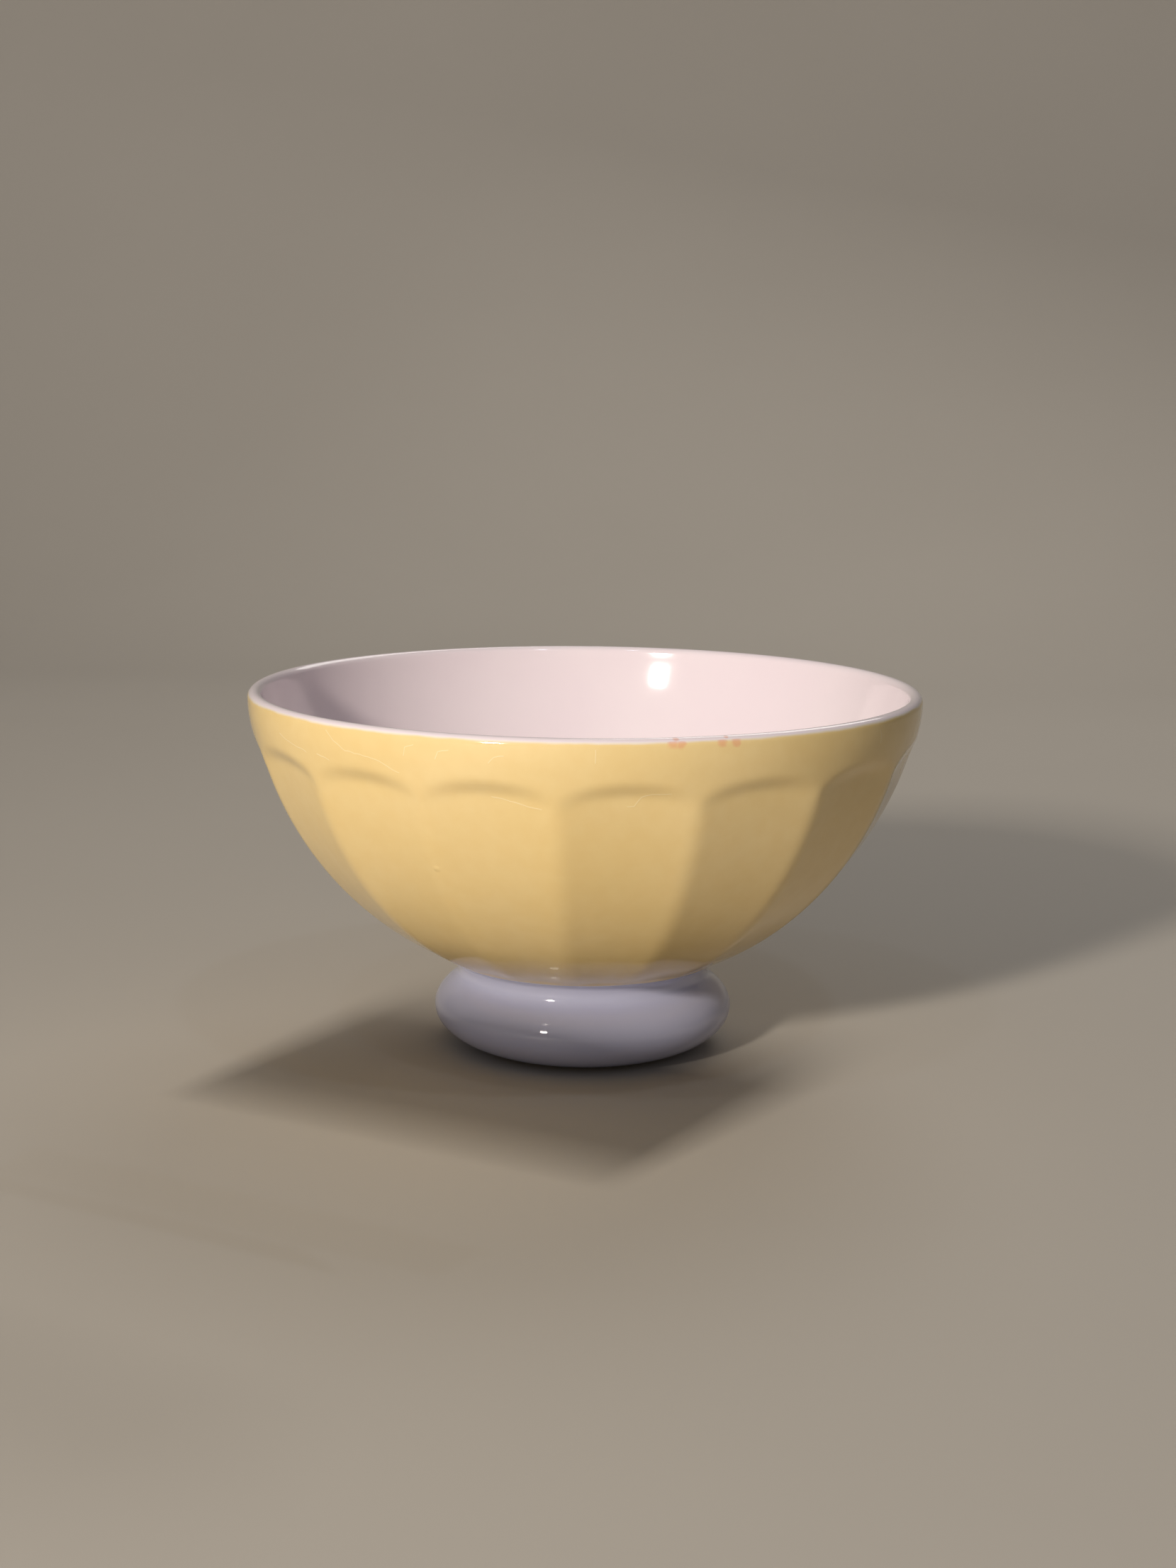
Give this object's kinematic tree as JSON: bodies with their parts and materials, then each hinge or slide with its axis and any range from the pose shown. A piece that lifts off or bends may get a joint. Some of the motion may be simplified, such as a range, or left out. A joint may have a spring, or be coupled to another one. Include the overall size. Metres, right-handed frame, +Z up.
{
  "type": "footed bowl",
  "caption": "Footed hemispherical earthenware bowl with flat pressed panels ending in arches, yellow glaze outside, white glaze inside and on its rounded foot.",
  "frame": {"origin": "centre of the standing ring of the foot, on the table", "axes": "+Z up, out of the bowl's mouth, on the bowl's axis; +X and -Y each run through a ridge between two panels"},
  "size_m": [0.15, 0.15, 0.082],
  "materials": {
    "earthenware": "fired earthenware, matt, bare only on the standing ring",
    "slip": "fired joining slip, matt, sealed between bowl and foot",
    "yellow_glaze": "glossy pale butter yellow glaze, finely crazed, thinner on the ridges",
    "white_glaze": "glossy white glaze with a faint cool tint"
  },
  "bodies": {
    "root": {"bowl_body": "earthenware", "foot_ring": "earthenware", "slip_joint": "slip", "outside_glaze": "yellow_glaze", "inside_glaze": "white_glaze", "foot_glaze": "white_glaze", "recess_glaze": "white_glaze"}
  },
  "joints": []
}
